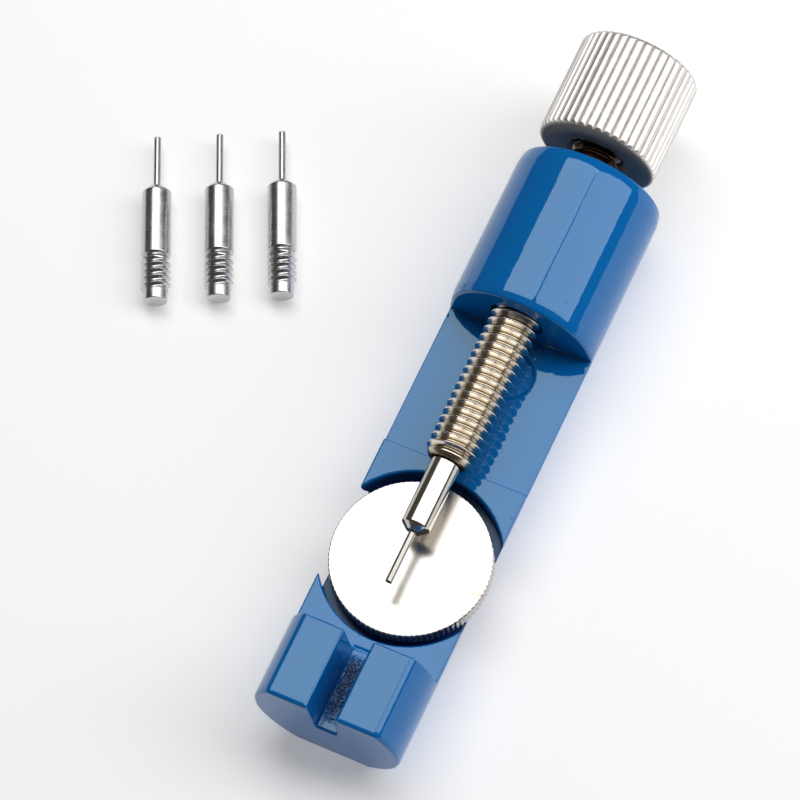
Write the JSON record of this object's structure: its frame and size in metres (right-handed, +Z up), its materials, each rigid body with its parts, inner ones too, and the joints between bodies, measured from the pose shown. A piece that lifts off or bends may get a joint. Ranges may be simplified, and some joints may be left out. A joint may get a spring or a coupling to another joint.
{
  "type": "watch bracelet link press",
  "caption": "Screw-fed link press: a cut-away blue bar with slotted jaws, an adjustable support wheel, a needle tip on a knurled feed screw, and spare tips.",
  "frame": {"origin": "on the middle line of the flat that the bar rests on, 36.1 mm from the jaws' end", "axes": "+X from the jaws to the knob, along the feed screw; +Z up; +Y to the left of +X, where the spare tips lie"},
  "size_m": [0.0877, 0.0618, 0.0185],
  "materials": {
    "blue_enamel": "gloss enamel",
    "wheel_nickel": "satin nickel plate",
    "stem_steel": "plated steel",
    "screw_nickel": "bright nickel plate, warm",
    "knob_nickel": "satin nickel plate",
    "tip_polished": "polished",
    "needle_steel": "drawn steel",
    "spare_polished": "polished",
    "spare_needle_steel": "drawn steel"
  },
  "bodies": {
    "frame": {"body": "blue_enamel"},
    "tip_carrier": {"tip_holder": "tip_polished", "tip_needle": "needle_steel"},
    "spindle": {"feed_screw": "screw_nickel", "knob": "knob_nickel"},
    "stem": {"wheel_stem": "stem_steel"},
    "wheel": {"support_wheel": "wheel_nickel"},
    "spare_tip_1": {"spare_holder_1": "spare_polished", "spare_needle_1": "spare_needle_steel"},
    "spare_tip_2": {"spare_holder_2": "spare_polished", "spare_needle_2": "spare_needle_steel"},
    "spare_tip_3": {"spare_holder_3": "spare_polished", "spare_needle_3": "spare_needle_steel"}
  },
  "joints": [
    {"name": "tip_feed", "type": "slide", "parent": "frame", "child": "tip_carrier", "axis": [-1, 0, 0], "range_m": [-0.0168, 0.00105]},
    {"name": "screw_turn", "type": "hinge", "parent": "tip_carrier", "child": "spindle", "pos_m": [0.03872, 0.00025, 0.0112], "axis": [-1, 0, 0], "range_deg": [-4950, 300]},
    {"name": "wheel_height", "type": "slide", "parent": "frame", "child": "stem", "axis": [0, 0, 1], "range_m": [-0.00055, 0.00165]},
    {"name": "wheel_turn", "type": "hinge", "parent": "stem", "child": "wheel", "pos_m": [-0.0137, 0, 0.0076], "axis": [0, 0, 1], "range_deg": [-225, 720]},
    {"name": "spare_tip_1_lift", "type": "slide", "parent": "frame", "child": "spare_tip_1", "axis": [0, 0, 1], "range_m": [0, 0.03]},
    {"name": "spare_tip_2_lift", "type": "slide", "parent": "frame", "child": "spare_tip_2", "axis": [0, 0, 1], "range_m": [0, 0.03]},
    {"name": "spare_tip_3_lift", "type": "slide", "parent": "frame", "child": "spare_tip_3", "axis": [0, 0, 1], "range_m": [0, 0.03]}
  ],
  "couplings": [
    {"joint": "tip_feed", "follows": "screw_turn", "m_per_rad": 0.00017348},
    {"joint": "wheel_height", "follows": "wheel_turn", "m_per_rad": 0.00012732}
  ]
}
